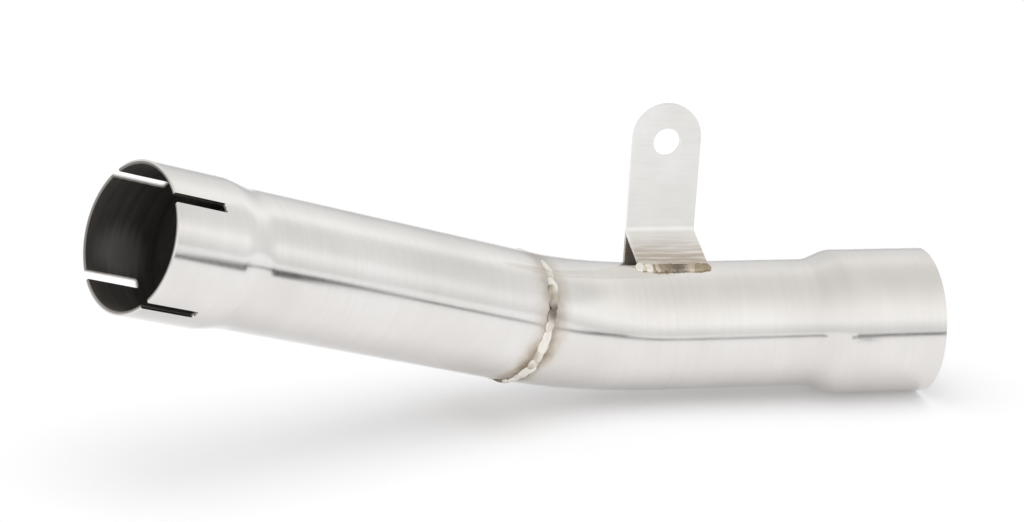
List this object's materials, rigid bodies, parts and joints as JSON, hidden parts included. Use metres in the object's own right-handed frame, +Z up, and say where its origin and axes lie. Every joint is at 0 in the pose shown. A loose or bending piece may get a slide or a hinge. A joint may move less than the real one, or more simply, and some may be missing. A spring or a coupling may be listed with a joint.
{
  "type": "motorcycle decat pipe",
  "caption": "Bent steel link pipe that replaces a motorcycle's catalyst: a slotted slip-on inlet, a girth-welded bend, a plain outlet socket and a folded hanger tab.",
  "frame": {"origin": "centre of the outlet socket's mouth, on its axis", "axes": "+X points out of the outlet along its axis, +Z points up along the hanger tab, +Y points to the tab's rear"},
  "size_m": [0.3469, 0.1398, 0.121],
  "materials": {
    "tube": "satin stainless, drawn tube",
    "sheet": "brushed stainless sheet",
    "brace": "brushed stainless sheet, shaded",
    "bead": "weld bead with straw heat tint"
  },
  "bodies": {
    "root": {"inlet_tube": "tube", "outlet_tube": "tube", "girth_weld": "bead", "hanger_tab": "sheet", "hanger_brace": "brace", "tab_weld": "bead", "brace_weld": "bead", "brace_seam": "bead"}
  },
  "joints": []
}
